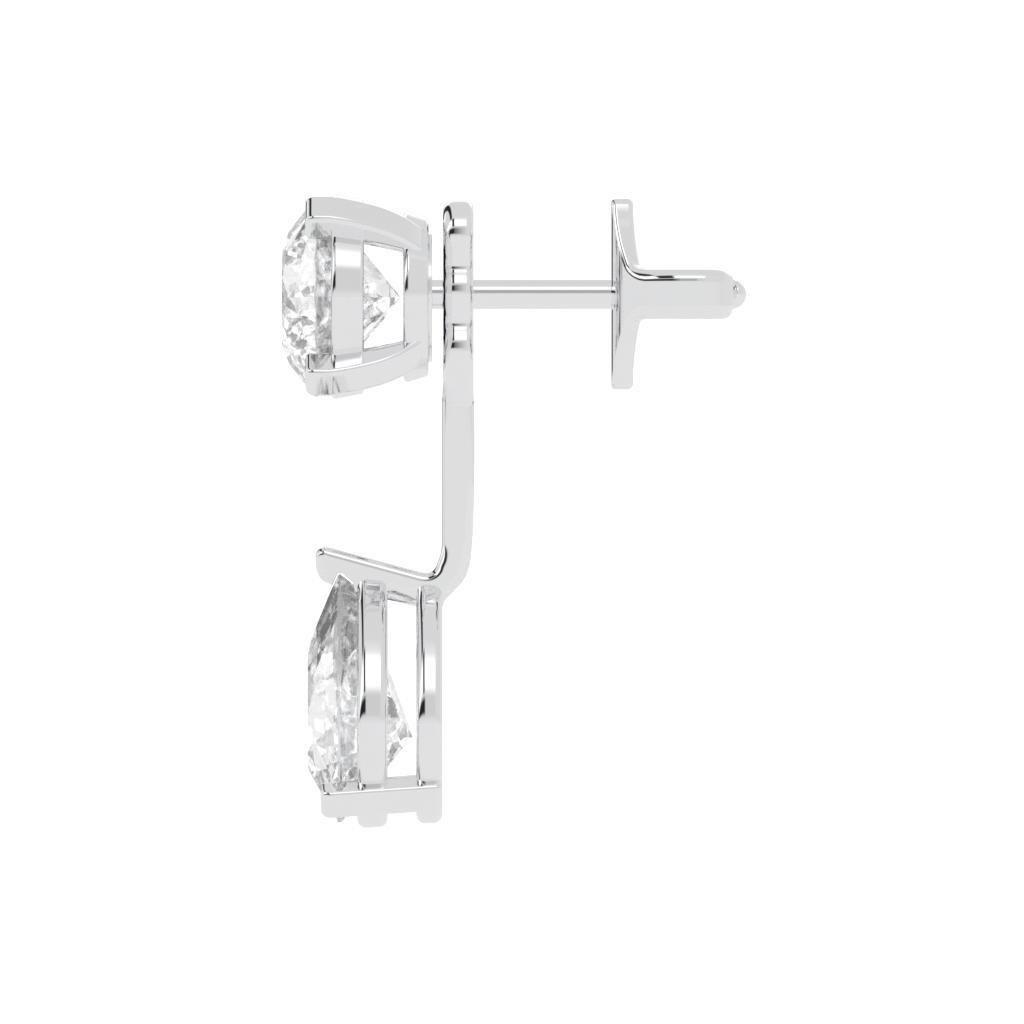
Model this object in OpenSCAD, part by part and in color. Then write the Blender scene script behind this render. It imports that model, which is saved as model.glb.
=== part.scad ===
// A jacket earring: a round stud, and a drop with a pear stone that hangs on the stud's post
// behind its head. A butterfly nut closes the post. Millimetres, +Z up, stones face -Y.
// Every module draws in a front frame, X to the side, Y up and Z towards the front, and
// front_frame() turns it into the part's own frame. The post's axis is X = 0, Y = 0.

/* [Round stone] */
// Girdle diameter of the round stone
round_d = 6.0; // [5.6:0.1:6.2]
// Height of its crown above the girdle
round_crown = 0.98; // [0.8:0.01:1.1]
// Depth of its pavilion below the girdle
round_pavilion = 2.48; // [2.3:0.01:2.6]
// Width of its table, corner to corner, as a share of the diameter
round_table = 0.52; // [0.48:0.01:0.6]

/* [Pear stone] */
// Width of the pear stone, twice the radius of its round end
pear_w = 5.96; // [5.8:0.02:6]
// Length of the pear stone from its round end to its tip
pear_l = 7.51; // [7.4:0.01:7.6]
// Height of its crown above the girdle
pear_crown = 0.9; // [0.7:0.01:1]
// Depth of its pavilion below the girdle
pear_pavilion = 2.16; // [1.9:0.01:2.3]
// Size of its table as a share of the outline
pear_table = 0.49; // [0.45:0.01:0.55]
// How far its table is moved from the culet towards the tip
pear_table_rise = 0.31; // [0:0.01:0.35]
// How far above its widest line the round end still runs, in degrees
pear_shoulder = 16.5; // [14:0.5:18]
// Depth of its culet under the centre of the round end
culet_drop = 0.38; // [0.2:0.01:0.4]
// How far the pear's pavilion bulges below a straight slope on its tip's side
pear_bulge = 0.42; // [0:0.02:0.5]
// Rise over run of the pear's facets under the girdle at its tip
pear_tip_slope = 1.4; // [0.8:0.1:1.6]

/* [Both stones] */
// Thickness of the girdle
girdle_t = 0.12; // [0.1:0.01:0.16]
// Clearance left between a stone and its metal
stone_gap = 0.03; // [0.02:0.01:0.05]

/* [Prongs and rails] */
// Width of every prong
prong_w = 1.06; // [0.8:0.02:1.2]
// Thickness of the stud's prongs, outwards from the head's axis
stud_prong_t = 0.85; // [0.6:0.05:0.9]
// Distance from the head's axis to the outer face of its prongs
stud_prong_r = 3.71; // [3.5:0.01:3.8]
// Radius of the curve that brings the stud's prongs in at the back
stud_prong_curve = 3.8; // [3.6:0.05:4]
// Radius of that curve on the prongs' inner side
stud_prong_inside = 8; // [7:0.5:9]
// Length of the stud's prongs along the head's axis
stud_prong_l = 3.79; // [3.7:0.01:3.9]
// Radial thickness of the stud's two rails
stud_rail_t = 0.55; // [0.4:0.05:0.6]
// Distance from the round end's centre to the front of the drop's prongs
drop_prong_r = 3.62; // [3.56:0.01:3.66]
// How much the drop's prongs close in towards the back
drop_prong_lean = 0.35; // [0.2:0.01:0.4]
// Thickness of the drop's prongs
drop_prong_t = 0.65; // [0.6:0.01:0.7]
// Thickness of the drop's two rails
drop_rail_t = 0.5; // [0.35:0.05:0.55]

/* [Post and head] */
// Diameter of the post
post_d = 0.91; // [0.8:0.01:1]
// Length of post behind the room for the lobe
post_tail = 4.09; // [3.9:0.01:4.6]
// Depth of the friction groove near the end of the post
groove_depth = 0.07; // [0.04:0.01:0.1]
// Height of the head's axis under the post's axis
head_drop = 0.1; // [0:0.01:0.2]
// Gap between the drop's plate and the disc behind the head
head_gap = 0.31; // [0.2:0.01:0.5]
// Visible thickness of that disc
disc_t = 0.08; // [0.06:0.01:0.12]
// Radius of that disc
disc_r = 1.98; // [1.9:0.01:2.1]

/* [Drop] */
// Number of holes that the drop's plate can hang by
hole_count = 3; // [3:1:3]
// Distance from one hole to the next
hole_pitch = 1.725; // [1.7:0.005:1.8]
// Radius of the scallop round each hole
scallop_r = 1.13; // [1.05:0.01:1.2]
// Radius of the hollow between two scallops
valley_r = 0.42; // [0.4:0.02:1]
// Clearance of the post in each hole that it passes
post_gap = 0.06; // [0.02:0.01:0.09]
// Thickness of the drop's plate
plate_t = 0.94; // [0.9:0.01:1]
// Rounding of the plate's front edge
plate_front_edge = 0.29; // [0.2:0.01:0.32]
// Rounding of the plate's back edge
plate_back_edge = 0.14; // [0.08:0.01:0.2]
// How far the bar stands proud of the plate on each face
bar_step = 0.03; // [0:0.01:0.04]
// Width of the bar and of the arm
bar_w = 1.16; // [1:0.02:1.3]
// Height of the arm that carries the tip of the pear stone
arm_t = 1.2; // [1.1:0.02:1.24]
// Rise of the arm towards the front, in degrees
arm_rise = 14.8; // [12:0.2:16]
// Depth of the centre of the pear's round end under the post
drop_depth = 13.0; // [12.95:0.05:13.05]

/* [Ear nut] */
// Height of the nut over both lobes of its plate
nut_h = 5.77; // [5.6:0.01:6]
// Width of a lobe at its outer end
lobe_w = 3.1; // [2.9:0.1:3.3]
// Rounding of a lobe's corners in front view
lobe_corner = 0.3; // [0.2:0.05:0.5]
// How far a lobe's sides lean out towards the wings, in degrees
lobe_lean = 22; // [18:1:24]
// Radius of the hollow corner between a lobe and a wing
flare_r = 0.3; // [0.2:0.05:0.4]
// Thickness of the plate
nut_t = 0.65; // [0.5:0.01:0.7]
// Radius of the bend from the plate into a wing, over its first part
bend_r = 1.3; // [1.2:0.05:1.4]
// Radius over the rest of that bend, up to the wing's flat side
bend_out_r = 2.9; // [2.7:0.05:3]
// Angle at which the first radius goes over into the second
bend_a = 60; // [55:1:65]
// Height of the strip that is rolled into the wings
wing_h = 1.49; // [1.3:0.01:1.6]
// Thickness of that strip
wing_t = 0.42; // [0.35:0.01:0.46]
// Width over both wings
nut_w = 5.5; // [5.3:0.02:5.7]
// Depth of the whole nut along the post
nut_depth = 3.68; // [3.5:0.01:3.8]

/* [Fit on the ear] */
// Room for the ear lobe between the drop's plate and the nut
lobe_gap = 4.16; // [4.14:0.02:5]

/* [Hidden] */
$fn = 96;
white_gold = [0.86, 0.86, 0.87];
diamond = [0.93, 0.96, 1.0];
big = 30;
eps = 0.01;

post_r = post_d / 2;
hole_r = post_r + post_gap;

plate_back = lobe_gap / 2;
plate_front = plate_back + plate_t;
nut_front = lobe_gap / 2;
head_back = plate_front + head_gap;
head_base = head_back + disc_t;

// The round stone's levels, measured towards the front
round_r = round_d / 2;
round_culet = head_base + 0.88;
round_girdle = round_culet + round_pavilion;
round_face = round_girdle + girdle_t + round_crown;

// Where the stud's rails start behind and end in front, and their outer radii there
stud_back_rail = [head_base + 0.03, head_base + 0.8, 2.36, 2.55];
stud_front_rail = [head_base + 1.99, head_base + 2.98, 2.93, 3.12];

// The pear's outline: a round end of radius pear_r and two side arcs that meet in the tip
pear_r = pear_w / 2;
pear_reach = pear_l - pear_r;
side_shift = (pear_reach ^ 2 - pear_r ^ 2) / (2 * (pear_r - pear_reach * sin(pear_shoulder)));
side_r = side_shift + pear_r;
tip_lean = asin((pear_reach + side_shift * sin(pear_shoulder)) / side_r);

// The pear stone's levels, and the basket's rails as start, end and growth of the outline
basket_base = plate_front + 0.01;
pear_culet = basket_base + 0.89;
pear_girdle = pear_culet + pear_pavilion;
pear_face = pear_girdle + girdle_t + pear_crown;
drop_back_rail = [basket_base, basket_base + 0.79, 0.05];
drop_front_rail = [basket_base + 1.65, basket_base + 2.58, 0.19];
drop_prong_end = basket_base + 3.68;

// The bar and the arm, as distances to the front and heights
bar_back = plate_back - bar_step;
bar_front = plate_front + bar_step;
nose = [6.25, -8.21];
elbow = [3.03, -7.88];
elbow_r = 0.93;
inner_corner = [3.42, -8.06];
inner_corner_r = 0.34;
neck_h = -2.1;

// The centre of the strip's roll, from the nut's axis and behind its front face
grip_x = post_r + 0.045;
roll_r = (nut_w / 2 - grip_x) / 2;
roll_x = grip_x + roll_r;
roll_back = nut_depth - roll_r;
curl_start = 1.6;

// Where the bend starts beside the post, and how deep it ends
bend_x = nut_w / 2 - bend_out_r + (bend_out_r - bend_r) * sin(bend_a);
bend_depth = bend_r + (bend_out_r - bend_r) * cos(bend_a);

// A point of the bent sheet in top view, inset from its outer face, where it has turned by angle
function bend_at(inset, angle) = angle > bend_a ?
    [nut_w / 2 - bend_out_r, bend_depth] + (bend_out_r - inset) * [sin(angle), -cos(angle)] :
    [bend_x, bend_r] + (bend_r - inset) * [sin(angle), -cos(angle)];

// The bend as a line of points, one every 3.75 degrees, from one angle to another
function bend_line(inset, from, to) = [
    for (step = [0:24]) bend_at(inset, from + (to - from) * step / 24)
];

module front_frame() {
    rotate([90, 0, 0]) children();
}

// Keeps what lies behind a plane through [reach, level] that falls off outwards by angle
module crown_cut(azimuth, reach, level, angle) {
    rotate([0, 0, azimuth]) translate([reach, 0, level]) rotate([0, angle, 0])
        translate([-big / 2, -big / 2, -big]) cube(big);
}

// Keeps what lies in front of a plane through [reach, level] that rises outwards by angle
module pavilion_cut(azimuth, reach, level, angle) {
    rotate([0, 0, azimuth]) translate([reach, 0, level]) rotate([0, -angle, 0])
        translate([-big / 2, -big / 2, 0]) cube(big);
}

// A round brilliant: 8 mains, 8 stars and 16 halves above, 8 mains and 16 halves below
module round_brilliant() {
    table_r = round_table * round_r;
    main_slope = round_crown / (round_r - table_r);
    star_r = 0.667 * round_r;
    star_h = round_crown - (star_r * cos(22.5) - table_r) * main_slope;
    star_slope = (round_crown - star_h) / (star_r - table_r * cos(22.5));
    half_slope = star_h / ((round_r - star_r) * cos(11.25));
    deep_slope = round_pavilion / round_r;
    deep_r = 0.23 * round_r;
    deep_h = round_pavilion - deep_r * cos(22.5) * deep_slope;
    low_slope = deep_h / ((round_r - deep_r) * cos(11.25));
    top = round_girdle + girdle_t;
    intersection() {
        translate([0, 0, round_culet]) cylinder(h = round_face - round_culet, r = round_r);
        intersection_for(k = [0:7]) {
            crown_cut(22.5 + 45 * k, round_r, top, atan(main_slope));
        }
        intersection_for(k = [0:7]) {
            crown_cut(45 * k, table_r * cos(22.5), round_face, atan(star_slope));
        }
        intersection_for(k = [0:15]) {
            crown_cut(11.25 + 22.5 * k, round_r * cos(11.25), top, atan(half_slope));
        }
        intersection_for(k = [0:7]) {
            pavilion_cut(22.5 + 45 * k, round_r, round_girdle, atan(deep_slope));
        }
        intersection_for(k = [0:15]) {
            pavilion_cut(11.25 + 22.5 * k, round_r * cos(11.25), round_girdle, atan(low_slope));
        }
    }
}

// Distance from the culet's axis to the outline's tangent line, for a normal at angle a
function pear_support(a) =
    let (
        side = (a + 450) % 360 - 90,
        up = 90 - abs(90 - side),
        from_centre = up <= pear_shoulder ? pear_r :
            up <= tip_lean ? side_r - side_shift * cos(up - pear_shoulder) :
            pear_reach * sin(up)
    ) from_centre + culet_drop * sin(a);

// The same distance for the table's edge
function table_support(a) = pear_table * pear_support(a) + pear_table_rise * sin(a);

// The pear's outline, grown outwards by grow, its tip towards +Y
module pear_outline(grow) {
    centre_x = side_shift * cos(pear_shoulder);
    centre_y = side_shift * sin(pear_shoulder);
    shoulder_h = (pear_r + grow) * sin(pear_shoulder);
    circle(pear_r + grow);
    intersection() {
        translate([-centre_x, -centre_y]) circle(side_r + grow);
        translate([centre_x, -centre_y]) circle(side_r + grow);
        translate([-big / 2, shoulder_h - eps]) square(big);
    }
}

// Points along the stone's own edge, grown outwards by grow: round end, one side, tip, other side
function pear_edge(grow) =
    let (
        across = side_shift * cos(pear_shoulder),
        low = side_shift * sin(pear_shoulder),
        r = side_r + grow,
        lean = acos(across / r),
        arc = 180 + 2 * pear_shoulder,
        step = (lean - pear_shoulder) / 12
    ) [
        for (k = [0:40]) (pear_r + grow) * [cos(k * arc / 40 + 180 - pear_shoulder),
            sin(k * arc / 40 + 180 - pear_shoulder)],
        for (k = [1:11]) r * [cos(pear_shoulder + k * step), sin(pear_shoulder + k * step)]
            - [across, low],
        [0, r * sin(lean) - low],
        for (k = [1:11]) r * [-cos(lean - k * step), sin(lean - k * step)] + [across, -low]
    ];

// A pear brilliant, with its culet's axis at the origin and every plane moved out by grow
module pear_brilliant(grow) {
    mains = [90, 44, 4, -42, -90, -138, -184, -224];
    last = len(mains) - 1;
    turns = [for (k = [0:last]) k < last ? mains[k + 1] : mains[0] - 360];
    top = pear_girdle + girdle_t;
    face = pear_face + grow;
    intersection() {
        translate([0, culet_drop, pear_culet - 1]) linear_extrude(face - pear_culet + 1) {
            polygon(pear_edge(grow));
        }
        intersection_for(k = [0:last]) {
            reach = pear_support(mains[k]);
            slope = pear_crown / (reach - table_support(mains[k]));
            crown_cut(mains[k], reach + grow, top, atan(slope));
        }
        intersection_for(k = [0:last]) {
            middle = (mains[k] + turns[k]) / 2;
            slope = 0.55 * pear_crown / (pear_support(middle) - table_support(middle));
            inset = table_support(middle) * cos((mains[k] - turns[k]) / 2);
            crown_cut(middle, inset + grow, face, atan(slope));
        }
        intersection_for(k = [0:last], s = [0.25, 0.75]) {
            turn = mains[k] + s * (turns[k] - mains[k]);
            reach = pear_support(turn);
            slope = 1.16 * pear_crown / (reach - table_support(turn));
            crown_cut(turn, 0.985 * reach + grow, top, atan(slope));
        }
        intersection_for(k = [0:last]) {
            reach = pear_support(mains[k]);
            sunk = sin(mains[k]) > 0.5 ? pear_bulge : 0;
            slope = (pear_pavilion - sunk) / reach;
            pavilion_cut(mains[k], reach + grow, pear_girdle - sunk, atan(slope));
        }
        intersection_for(k = [0:last], s = [0.25, 0.75]) {
            turn = mains[k] + s * (turns[k] - mains[k]);
            reach = pear_support(turn);
            steep = sin(turn) > 0.5;
            slope = steep ? pear_tip_slope : 1.05 * pear_pavilion / reach;
            start = steep ? 0.995 : 0.985;
            pavilion_cut(turn, start * reach + grow, pear_girdle, atan(slope));
        }
    }
}

// A thin cone-shaped ring between two levels
module stud_rail(rail) {
    translate([0, 0, rail[0]]) difference() {
        cylinder(h = rail[1] - rail[0], r1 = rail[2], r2 = rail[3]);
        translate([0, 0, -eps]) cylinder(
            h = rail[1] - rail[0] + 2 * eps, r1 = rail[2] - stud_rail_t, r2 = rail[3] - stud_rail_t);
    }
}

// One prong of the stud: straight at the stone, then curved in towards the back
module stud_prong() {
    curve_level = head_base + 3.03;
    curve_x = stud_prong_r - stud_prong_curve;
    tip = head_base + stud_prong_l;
    inner_x = stud_prong_r - stud_prong_t - stud_prong_inside;
    rotate([90, 0, 0]) linear_extrude(prong_w, center = true) {
        translate([stud_prong_r - stud_prong_t, curve_level])
            square([stud_prong_t, tip - curve_level - 0.2]);
        translate([stud_prong_r - stud_prong_t, curve_level])
            square([stud_prong_t - 0.2, tip - curve_level]);
        translate([stud_prong_r - 0.2, tip - 0.2]) circle(0.2);
        difference() {
            intersection() {
                translate([curve_x, curve_level]) circle(stud_prong_curve);
                translate([1.6, head_base]) square([3, curve_level - head_base + eps]);
            }
            translate([inner_x, curve_level]) circle(stud_prong_inside, $fn = 240);
        }
    }
}

// The space that the round stone takes, with its clearance
module round_seat() {
    r = round_r + stone_gap;
    top = round_girdle + girdle_t + stone_gap;
    low = round_girdle - stone_gap;
    rise = round_crown / (round_r * (1 - round_table));
    fall = round_pavilion / round_r;
    rotate_extrude() polygon([
        [0, low - r * fall - stone_gap], [r, low], [r, top], [r / 3, top + r * rise * 2 / 3],
        [0, top + r * rise * 2 / 3]
    ]);
}

module post() {
    end = -(lobe_gap / 2 + post_tail);
    groove = end + 0.2;
    difference() {
        union() {
            translate([0, 0, end + post_r / 2]) cylinder(h = head_base - end - post_r / 2, r = post_r);
            translate([0, 0, end + post_r / 2]) cylinder(h = post_r, r1 = 0, r2 = post_r);
            intersection() {
                translate([0, 0, end + post_r]) sphere(post_r);
                translate([-1, -1, end]) cube([2, 2, post_r]);
            }
        }
        translate([0, 0, groove]) rotate_extrude() {
            translate([post_r + groove_depth / 2, 0]) circle(groove_depth * 1.5);
        }
    }
}

module stud_setting() {
    color(white_gold) front_frame() {
        difference() {
            translate([0, -head_drop, 0]) {
                for (turn = [45:90:315]) {
                    rotate([0, 0, turn]) stud_prong();
                }
                stud_rail(stud_back_rail);
                stud_rail(stud_front_rail);
                translate([0, 0, head_back]) cylinder(h = disc_t + 0.3, r = disc_r);
            }
            translate([0, -head_drop, 0]) round_seat();
        }
        post();
    }
}

module round_stone() {
    color(diamond) front_frame() translate([0, -head_drop, 0]) round_brilliant();
}

// The half-section of a scallop's disc, rounded at both edges
module scallop_section() {
    square([scallop_r - plate_front_edge, plate_t]);
    square([scallop_r - plate_back_edge, plate_t - plate_front_edge]);
    translate([0, plate_back_edge])
        square([scallop_r, plate_t - plate_front_edge - plate_back_edge]);
    translate([scallop_r - plate_front_edge, plate_t - plate_front_edge]) circle(plate_front_edge);
    translate([scallop_r - plate_back_edge, plate_back_edge]) circle(plate_back_edge);
}

// The body between the first and the last scallop, hollowed where two scallops meet
module scallop_web(inset) {
    half = (hole_count - 1) / 2 * hole_pitch;
    valley_x = sqrt((scallop_r + valley_r) ^ 2 - (hole_pitch / 2) ^ 2);
    difference() {
        square([2 * (scallop_r - inset - 0.1), 2 * half], center = true);
        for (side = [-1, 1], k = [0:hole_count - 2]) {
            translate([side * valley_x, half - hole_pitch * (k + 0.5)]) circle(valley_r + inset);
        }
    }
}

module hanging_plate() {
    half = (hole_count - 1) / 2 * hole_pitch;
    translate([0, 0, plate_back]) {
        for (k = [0:hole_count - 1]) {
            translate([0, half - k * hole_pitch, 0]) rotate_extrude() intersection() {
                scallop_section();
                square(big);
            }
        }
        translate([0, 0, plate_back_edge])
            linear_extrude(plate_t - plate_back_edge - plate_front_edge) scallop_web(0);
        linear_extrude(plate_t) scallop_web(plate_front_edge);
    }
    translate([0, 0, bar_back]) linear_extrude(bar_front - bar_back) polygon([
        [-scallop_r * 0.9, neck_h], [scallop_r * 0.9, neck_h], [bar_w / 2, neck_h - 0.7],
        [-bar_w / 2, neck_h - 0.7]
    ]);
}

// The bar and the arm in side view, front to the right and up as up
module bar_and_arm_side() {
    polygon([
        [bar_back, neck_h - 0.2], [bar_front, neck_h - 0.2], [bar_front, elbow[1] + 0.6],
        [inner_corner[0] - inner_corner_r, inner_corner[1]], [inner_corner[0], nose[1] - 0.5],
        [elbow[0], elbow[1]], [elbow[0] - elbow_r, elbow[1]], [bar_back, -5.1]
    ]);
    intersection() {
        translate(elbow) circle(elbow_r);
        translate([0, elbow[1] - elbow_r]) square([elbow[0], elbow_r]);
    }
    difference() {
        translate([elbow[0] - eps, inner_corner[1] - 0.8]) square([0.75, 0.8]);
        translate(inner_corner) circle(inner_corner_r);
        translate(nose) rotate(arm_rise) translate([-6, arm_t / 2]) square([8, 2]);
    }
    translate(nose) circle(arm_t / 2);
    translate(nose) rotate(arm_rise) translate([-3.4, -arm_t / 2]) square([3.4, arm_t]);
    polygon([
        [2.56, -8.72], [basket_base, -9.42], [basket_base + 0.8, -9.42], [basket_base + 0.8, -8.5],
        [elbow[0], elbow[1]]
    ]);
}

module bar_and_arm() {
    difference() {
        rotate([0, -90, 0]) linear_extrude(bar_w, center = true) bar_and_arm_side();
        rotate([0, -90, 0]) linear_extrude(2 * bar_w, center = true) polygon([
            [5.5, -9.2], [5.66, -8.7], [5.86, -8.42], [6.02, -8.42], [6.3, -8.74], [6.4, -9.2]
        ]);
    }
}

// A rail of the basket: the pear's outline as a ring
module drop_rail(rail) {
    translate([0, 0, rail[0]]) linear_extrude(rail[1] - rail[0]) difference() {
        pear_outline(rail[2]);
        pear_outline(rail[2] - drop_rail_t);
    }
}

module drop_prong() {
    rotate([90, 0, 0]) linear_extrude(prong_w, center = true) {
        polygon([
            [drop_prong_r - drop_prong_lean - drop_prong_t, basket_base],
            [drop_prong_r - drop_prong_lean, basket_base],
            [drop_prong_r, drop_prong_end - 0.25],
            [drop_prong_r - 0.25, drop_prong_end],
            [drop_prong_r - drop_prong_t, drop_prong_end]
        ]);
    }
}

module jacket() {
    color(white_gold) front_frame() difference() {
        union() {
            hanging_plate();
            bar_and_arm();
            translate([0, -drop_depth, 0]) {
                drop_rail(drop_back_rail);
                drop_rail(drop_front_rail);
                rotate([0, 0, -45]) drop_prong();
                rotate([0, 0, -135]) drop_prong();
            }
        }
        for (k = [0:hole_count - 1]) {
            translate([0, ((hole_count - 1) / 2 - k) * hole_pitch, 0]) cylinder(h = 5, r = hole_r);
        }
        translate([0, -drop_depth - culet_drop, 0]) pear_brilliant(stone_gap);
    }
}

module pear_stone() {
    color(diamond) front_frame() translate([0, -drop_depth - culet_drop, 0]) pear_brilliant(0);
}

// The nut's plate in front view: two lobes that widen towards the wings
module nut_outline() {
    corner = [lobe_w / 2 - lobe_corner, nut_h / 2 - lobe_corner];
    side = corner + lobe_corner * [cos(lobe_lean), sin(lobe_lean)];
    root = [side[0] + (side[1] - wing_h / 2) * tan(lobe_lean), wing_h / 2];
    reach = flare_r * tan(45 - lobe_lean / 2);
    start = root + reach * [-sin(lobe_lean), cos(lobe_lean)];
    foot = root + [reach, 0];
    difference() {
        polygon([
            side, start, foot, [foot[0], -foot[1]], [start[0], -start[1]], [side[0], -side[1]],
            [-side[0], -side[1]], [-start[0], -start[1]], [-foot[0], -foot[1]], [-foot[0], foot[1]],
            [-start[0], start[1]], [-side[0], side[1]]
        ]);
        for (x = [-1, 1], y = [-1, 1]) {
            translate([x * foot[0], y * (foot[1] + flare_r)]) circle(flare_r);
        }
    }
    square([2 * corner[0], nut_h], center = true);
    for (x = [-1, 1], y = [-1, 1]) {
        translate([x * corner[0], y * corner[1]]) circle(lobe_corner);
    }
}

// Half of the plate in top view, with its bend towards the back
module nut_sheet() {
    polygon(concat([[0, 0]], bend_line(0, 0, 90), bend_line(nut_t, 90, 0), [[0, nut_t]]));
}

// One wing in top view: out from the plate, back along the post and rolled in against it
module wing_roll() {
    side = nut_w / 2;
    flat_end = [[side, roll_back], [side - wing_t, roll_back]];
    polygon(concat(bend_line(0, 0, 90), flat_end, bend_line(wing_t, 90, 0)));
    difference() {
        translate([roll_x, roll_back]) circle(roll_r);
        translate([roll_x, roll_back]) circle(roll_r - wing_t);
        translate([0, roll_back - 4]) square(4);
    }
    translate([grip_x, curl_start]) square([wing_t, roll_back - curl_start]);
    difference() {
        translate([grip_x + 0.74, curl_start]) circle(0.74);
        translate([grip_x + 0.74, curl_start]) circle(0.74 - wing_t);
        translate([grip_x, curl_start]) square(4);
        translate([grip_x + 0.6, -1]) square(4);
    }
}

module ear_nut() {
    color(white_gold) front_frame() translate([0, 0, -nut_front]) difference() {
        union() {
            intersection() {
                translate([0, 0, -bend_depth - 1]) linear_extrude(bend_depth + 2) nut_outline();
                for (side = [0, 1]) {
                    mirror([side, 0, 0]) rotate([-90, 0, 0]) {
                        linear_extrude(2 * nut_h, center = true) nut_sheet();
                    }
                }
            }
            for (side = [0, 1]) {
                mirror([side, 0, 0]) rotate([-90, 0, 0]) {
                    linear_extrude(wing_h, center = true) wing_roll();
                }
            }
        }
        translate([0, 0, -nut_t - eps]) cylinder(h = nut_t + 2 * eps, r = grip_x);
    }
}

stud_setting();
round_stone();
jacket();
pear_stone();
ear_nut();
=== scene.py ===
import bpy
import math
from mathutils import Matrix, Vector
from mathutils.geometry import tessellate_polygon


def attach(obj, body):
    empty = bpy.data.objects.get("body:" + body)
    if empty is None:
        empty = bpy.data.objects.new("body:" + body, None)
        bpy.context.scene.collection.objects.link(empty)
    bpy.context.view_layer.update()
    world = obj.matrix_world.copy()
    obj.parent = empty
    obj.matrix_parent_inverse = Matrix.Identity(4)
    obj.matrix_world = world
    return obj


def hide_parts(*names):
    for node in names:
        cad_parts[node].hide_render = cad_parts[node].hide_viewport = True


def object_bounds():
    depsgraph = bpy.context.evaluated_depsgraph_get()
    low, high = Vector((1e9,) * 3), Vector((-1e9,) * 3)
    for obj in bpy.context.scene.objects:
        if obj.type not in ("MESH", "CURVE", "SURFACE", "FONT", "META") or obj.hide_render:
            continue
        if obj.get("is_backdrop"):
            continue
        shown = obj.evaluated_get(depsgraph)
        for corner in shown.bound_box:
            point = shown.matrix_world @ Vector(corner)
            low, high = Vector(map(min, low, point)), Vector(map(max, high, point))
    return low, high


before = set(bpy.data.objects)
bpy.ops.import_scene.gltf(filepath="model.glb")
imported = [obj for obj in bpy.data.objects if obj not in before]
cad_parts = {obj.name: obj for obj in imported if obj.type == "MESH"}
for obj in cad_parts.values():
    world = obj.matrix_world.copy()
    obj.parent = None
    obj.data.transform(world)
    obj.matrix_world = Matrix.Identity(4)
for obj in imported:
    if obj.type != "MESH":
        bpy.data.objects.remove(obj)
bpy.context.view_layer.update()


# Stud setting: four prongs, two rails, back disc and post, soldered into one
# Cast in 14-karat white gold, its prongs filed flat outside, then buffed to a mirror. Sizes are in
# millimetres in the front frame: X to the side, Y up and Z to the front, from a point on the post's axis.
mix_a, mix_b, mixed = 6, 7, 2  # sockets of a Mix node that is set to colours


def shader_group(name, inputs, outputs):
    """A node group with named sockets, and its two end nodes."""
    group = bpy.data.node_groups.new(name, "ShaderNodeTree")
    for label, kind, value in inputs:
        socket = group.interface.new_socket(label, in_out="INPUT", socket_type=kind)
        socket.default_value = value
    for label, kind in outputs:
        group.interface.new_socket(label, in_out="OUTPUT", socket_type=kind)
    return group, group.nodes.new("NodeGroupInput"), group.nodes.new("NodeGroupOutput")


def buffed_metal_group():
    """Cloudy gloss and hair-fine buffing lines, in the piece's own coordinates."""
    group, ends_in, ends_out = shader_group(
        "buffed_metal",
        [("Tint", "NodeSocketColor", (0.93, 0.93, 0.94, 1.0)), ("Gloss", "NodeSocketFloat", 0.035),
         ("Cloud Size", "NodeSocketFloat", 900.0), ("Line Size", "NodeSocketFloat", 14000.0),
         ("Line Depth", "NodeSocketFloat", 0.012)],
        [("Color", "NodeSocketColor"), ("Roughness", "NodeSocketFloat"), ("Normal", "NodeSocketVector")])
    nodes, links = group.nodes, group.links
    place = nodes.new("ShaderNodeTexCoord")
    clouds = nodes.new("ShaderNodeTexNoise")
    clouds.inputs["Detail"].default_value = 3.0
    cloud_share = 0.03
    gloss = nodes.new("ShaderNodeMath")
    gloss.operation = "MULTIPLY_ADD"
    gloss.inputs[1].default_value = cloud_share
    shade = nodes.new("ShaderNodeMix")
    shade.data_type = "RGBA"
    shade.blend_type = "MULTIPLY"
    shade.inputs["Factor"].default_value = cloud_share
    stretch = nodes.new("ShaderNodeMapping")
    stretch.inputs["Scale"].default_value = (1.0, 1.0, 0.12)
    lines = nodes.new("ShaderNodeTexNoise")
    bump = nodes.new("ShaderNodeBump")
    bump.inputs["Distance"].default_value = 0.000002
    links.new(place.outputs["Object"], clouds.inputs["Vector"])
    links.new(ends_in.outputs["Cloud Size"], clouds.inputs["Scale"])
    links.new(clouds.outputs["Fac"], gloss.inputs[0])
    links.new(ends_in.outputs["Gloss"], gloss.inputs[2])
    links.new(ends_in.outputs["Tint"], shade.inputs[mix_a])
    links.new(clouds.outputs["Color"], shade.inputs[mix_b])
    links.new(place.outputs["Object"], stretch.inputs["Vector"])
    links.new(stretch.outputs["Vector"], lines.inputs["Vector"])
    links.new(ends_in.outputs["Line Size"], lines.inputs["Scale"])
    links.new(lines.outputs["Fac"], bump.inputs["Height"])
    links.new(ends_in.outputs["Line Depth"], bump.inputs["Strength"])
    links.new(shade.outputs[mixed], ends_out.inputs["Color"])
    links.new(gloss.outputs["Value"], ends_out.inputs["Roughness"])
    links.new(bump.outputs["Normal"], ends_out.inputs["Normal"])
    return group


def material_from(name, group, fed):
    """A Principled material whose sockets are fed by a group, as a list of (output, socket)."""
    made = bpy.data.materials.new(name)
    made.use_nodes = True
    surface = made.node_tree.nodes["Principled BSDF"]
    source = made.node_tree.nodes.new("ShaderNodeGroup")
    source.node_tree = group
    for output, socket in fed:
        made.node_tree.links.new(source.outputs[output], surface.inputs[socket])
    return made, surface


white_gold, gold_surface = material_from(
    "white_gold", buffed_metal_group(),
    [("Color", "Base Color"), ("Roughness", "Roughness"), ("Normal", "Normal")])
gold_surface.inputs["Metallic"].default_value = 1.0


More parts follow.
